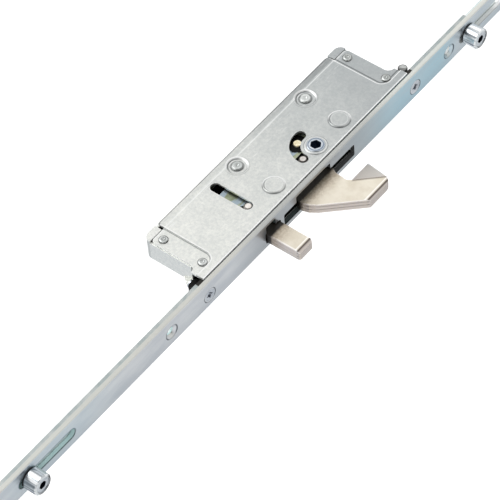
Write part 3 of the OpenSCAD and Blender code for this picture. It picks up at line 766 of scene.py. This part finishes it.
def settled(piece):
    # the piece's mesh with its modifiers worked in
    mesh = bpy.data.meshes.new_from_object(piece.evaluated_get(bpy.context.evaluated_depsgraph_get()))
    piece.modifiers.clear()
    return mesh


def softened(nodeName, facts):
    # copy of a CAD node with its hard edges rounded, which stands for the node
    def cleaned(shape):
        bmesh.ops.remove_doubles(shape, verts=shape.verts, dist=2e-6)
        bmesh.ops.dissolve_limit(shape, angle_limit=math.radians(0.6), verts=shape.verts,
                                 edges=shape.edges)
        if "first" in facts:
            facts["first"](shape)

    source = frame["nodes"][nodeName]
    mesh = source.data.copy()
    mesh.name = nodeName + "Soft"
    reshaped(mesh, cleaned)
    piece = bpy.data.objects.new(nodeName + "Soft", mesh)
    bpy.context.scene.collection.objects.link(piece)
    bevel = piece.modifiers.new("edges", "BEVEL")
    bevel.width = facts["width"] * mm
    bevel.segments = 2
    bevel.limit_method = "ANGLE"
    bevel.angle_limit = math.radians(facts.get("angle", 30.0))
    bevel.use_clamp_overlap = True
    rounded = settled(piece)
    if "last" in facts:
        reshaped(rounded, facts["last"])
    for face in rounded.polygons:
        face.use_smooth = True
    piece.data = rounded
    even = piece.modifiers.new("flats", "WEIGHTED_NORMAL")
    even.mode = "FACE_AREA"
    even.weight = 100
    even.keep_sharp = True
    piece.data = settled(piece)
    piece.data.materials.clear()
    piece.data.materials.append(facts.get("material", look[slotOf[nodeName]]))
    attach(piece, source["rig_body"])
    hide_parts(nodeName)


# rounding in mm, the smallest angle in degrees that is rounded, and what is done before and after it
soft = {
    "forend": {"width": 0.12},
    "case_tray": {"width": 0.12, "material": trayZinc},
    "case_lid": {"width": 0.28, "material": lidZinc, "first": rolledBack},
    "drive_rail": {"width": 0.15},
    "deadbolt": {"width": 0.22, "last": grooved},
    "case_screws": {"width": 0.06},
    "pivot_bush": {"width": 0.12},
    "hook": {"width": 0.22, "angle": 16.0, "material": hookNickel, "first": hookNose, "last": grooved},
    "screw_pillars": {"width": 0.12},
}
for nodeName, facts in soft.items():
    softened(nodeName, facts)
print("rounded copies ready")

# the stage is in metres
white = (1.0, 1.0, 1.0, 1.0)
stageSizes = {
    "floorZ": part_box("forend")[0].z, "gap": 0.0005, "floorR": 4.0,
    "floorTone": (0.80, 0.80, 0.80, 1.0), "floorRough": 0.9, "floorGlow": 0.55, "plainLight": 0.62,
}


def makeFloor():
    # a pale round floor that keeps the lock's shadow
    def disc(shape):
        bmesh.ops.create_circle(shape, cap_ends=True, segments=96, radius=stageSizes["floorR"])

    mesh = bpy.data.meshes.new("floor")
    reshaped(mesh, disc)
    floor = bpy.data.objects.new("floor", mesh)
    floor.location.z = stageSizes["floorZ"] - stageSizes["gap"]
    bpy.context.scene.collection.objects.link(floor)
    m = Maker("floorPale")
    glowing = m.node("ShaderNodeLightPath", output="Is Camera Ray") * stageSizes["floorGlow"]
    values = {"Base Color": stageSizes["floorTone"], "Roughness": stageSizes["floorRough"]}
    pale = m.node("ShaderNodeBsdfPrincipled", values=values)
    glow = m.node("ShaderNodeEmission", values={"Color": white, "Strength": glowing})
    mesh.materials.append(m.close(m.node("ShaderNodeAddShader", values={0: pale, 1: glow})))
    floor.visible_glossy = False


def makeWorld():
    # white for the camera and for mirrors, plain light for everything else
    world = bpy.data.worlds.new("studio")
    bpy.context.scene.world = world
    m = Maker("studio", world)
    kinds = ("Is Camera Ray", "Is Glossy Ray", "Is Transmission Ray")
    seen = sum(m.node("ShaderNodeLightPath", output=kind) for kind in kinds).clamp()
    strength = seen + (1.0 - seen) * stageSizes["plainLight"]
    m.close(m.node("ShaderNodeBackground", values={"Color": white, "Strength": strength}))


cards = {
    "cardUnder": {"to": (-0.42, -0.74, 0.54), "far": 1.0, "size": (1.1, 1.1), "tone": (0.03, 0.03, 0.035)},
    "cardFront": {"to": (-0.433, 0.767, -0.473), "far": 1.0, "size": (1.1, 1.1), "tone": (0.8, 0.82, 0.83)},
    "cardEnd": {"to": (0.433, 0.767, 0.473), "far": 1.0, "size": (1.0, 1.0), "tone": (0.42, 0.46, 0.52)},
    "cardBack": {"to": (0.95, 0.1, -0.05), "far": 0.9, "size": (0.7, 0.9), "tone": (0.1, 0.11, 0.12)},
    "cardShine": {"to": (0.5, -0.56, -0.66), "far": 1.6, "size": (0.6, 0.6), "tone": (2.2, 2.2, 2.2)},
    "cardFacet": {"to": (0.74, 0.05, -0.67), "far": 1.2, "size": (0.8, 0.8), "tone": (1.0, 0.97, 0.94)},
}


def makeCard(cardName, facts):
    # a flat studio card that only shiny surfaces see
    mesh = bpy.data.meshes.new(cardName)
    reshaped(mesh, lambda shape: bmesh.ops.create_grid(shape, x_segments=2, y_segments=2, size=0.5))
    card = bpy.data.objects.new(cardName, mesh)
    toward = Vector(facts["to"]).normalized()
    card.location = toward * facts["far"]
    card.rotation_euler = (-toward).to_track_quat("Z", "Y").to_euler()
    card.scale = (facts["size"][0], facts["size"][1], 1.0)
    card.visible_camera = False
    card.visible_diffuse = False
    card.visible_shadow = False
    card.visible_transmission = False
    bpy.context.scene.collection.objects.link(card)
    m = Maker(cardName)
    mesh.materials.append(m.close(m.node("ShaderNodeEmission", values={"Color": facts["tone"] + (1.0,)})))


lamps = {
    "keyLamp": {"at": (0.9, -1.3, 0.35), "aim": (0.0, 0.0, 0.0), "size": 0.9, "watts": 9.0},
    "sideLamp": {"at": (1.6, -0.9, 0.8), "aim": (0.0, 0.0, 0.0), "size": 1.0, "watts": 6.0},
    "backLamp": {"at": (0.6, 1.6, 1.2), "aim": (0.0, 0.0, 0.0), "size": 1.0, "watts": 6.0},
}


def makeLamp(lampName, facts):
    light = bpy.data.lights.new(lampName, "AREA")
    light.size = facts["size"]
    light.energy = facts["watts"]
    lamp = bpy.data.objects.new(lampName, light)
    lamp.location = facts["at"]
    lamp.rotation_euler = (Vector(facts["aim"]) - Vector(facts["at"])).to_track_quat("-Z", "Y").to_euler()
    bpy.context.scene.collection.objects.link(lamp)


# the photo's camera: its place, its three axes and its lens in mm
view = {
    "at": (-0.6436, -1.1421, 0.7521), "right": (-0.78306, 0.06053, -0.61902),
    "up": (0.44633, -0.63845, -0.62705), "back": (-0.43315, -0.76729, 0.47292),
    "lens": 230.65, "sensor": 36.0, "farEnd": 50.0,
}


def makeCamera():
    data = bpy.data.cameras.new("photoCamera")
    data.lens = view["lens"]
    data.sensor_width = view["sensor"]
    data.sensor_fit = "HORIZONTAL"
    data.clip_end = view["farEnd"]
    camera = bpy.data.objects.new("photoCamera", data)
    turn = Matrix([Vector(view[axis]).normalized() for axis in ("right", "up", "back")]).transposed()
    camera.matrix_world = Matrix.Translation(Vector(view["at"])) @ turn.to_4x4()
    bpy.context.scene.collection.objects.link(camera)
    bpy.context.scene.camera = camera


makeFloor()
makeWorld()
for cardName, facts in cards.items():
    makeCard(cardName, facts)
for lampName, facts in lamps.items():
    makeLamp(lampName, facts)
makeCamera()
bpy.context.scene.view_settings.view_transform = "Standard"
print("stage ready")
